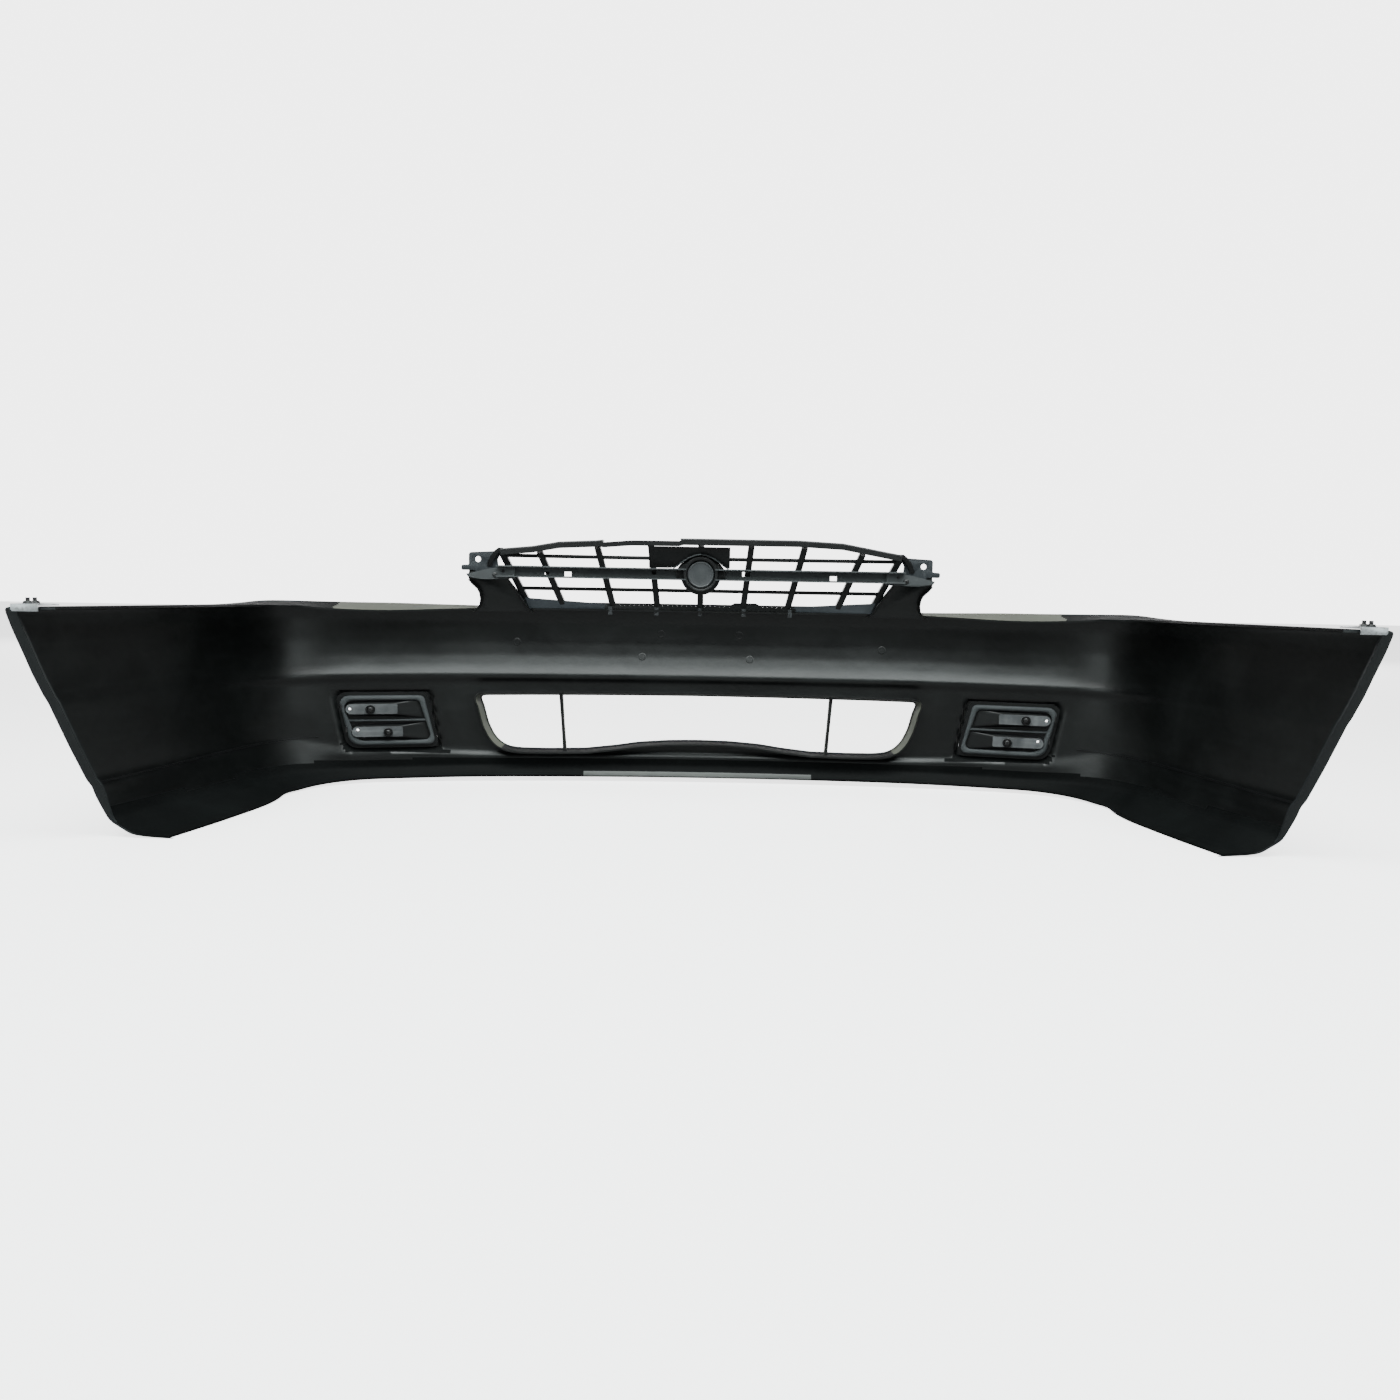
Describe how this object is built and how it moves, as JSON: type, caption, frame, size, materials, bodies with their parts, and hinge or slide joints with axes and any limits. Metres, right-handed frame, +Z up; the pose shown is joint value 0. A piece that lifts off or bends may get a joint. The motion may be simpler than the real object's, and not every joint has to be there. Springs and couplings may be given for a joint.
{
  "type": "front bumper cover",
  "caption": "Black moulded front bumper cover with wrap-around wings, an integral slatted grille, a lower intake and two blanked fog lamp pockets.",
  "frame": {"origin": "middle of the bounding box in plan, at the lower edge the cover rests on", "axes": "X across the car with +X the car's left, -Y towards the street, +Z up"},
  "size_m": [1.694, 0.644, 0.438],
  "materials": {
    "fascia_plastic": "bare moulded plastic with a soft sheen",
    "grille_plastic": "moulded plastic",
    "crossbar_plastic": "grey moulded plastic",
    "black_plastic": "black moulded plastic",
    "emblem_plastic": "plain grey disc",
    "bracket_plastic": "blue-grey moulded plastic",
    "cover_plastic": "moulded plastic, slightly lighter than the skin",
    "dark_steel": "black coated steel",
    "spring_steel": "spring steel",
    "zinc_steel": "zinc-plated sheet steel"
  },
  "bodies": {
    "root": {"fascia": "fascia_plastic", "grille_lattice": "grille_plastic", "grille_top_rail": "grille_plastic", "grille_crossbar": "crossbar_plastic", "emblem_backing_panel": "black_plastic", "emblem_bezel": "black_plastic", "emblem_blank": "emblem_plastic", "grille_bracket_left": "bracket_plastic", "grille_bracket_right": "bracket_plastic", "grille_bracket_screws": "dark_steel", "crossbar_screws": "dark_steel", "grille_sill_clips": "spring_steel", "fog_cover_left": "cover_plastic", "fog_cover_right": "cover_plastic", "fog_cover_screws_left": "dark_steel", "fog_cover_screws_right": "dark_steel", "fog_cover_clips_left": "spring_steel", "fog_cover_clips_right": "spring_steel", "wing_bracket_left": "zinc_steel", "wing_bracket_right": "zinc_steel", "wing_studs_left": "dark_steel", "wing_studs_right": "dark_steel", "wing_stud_nuts_left": "dark_steel", "wing_stud_nuts_right": "dark_steel"}
  },
  "joints": []
}
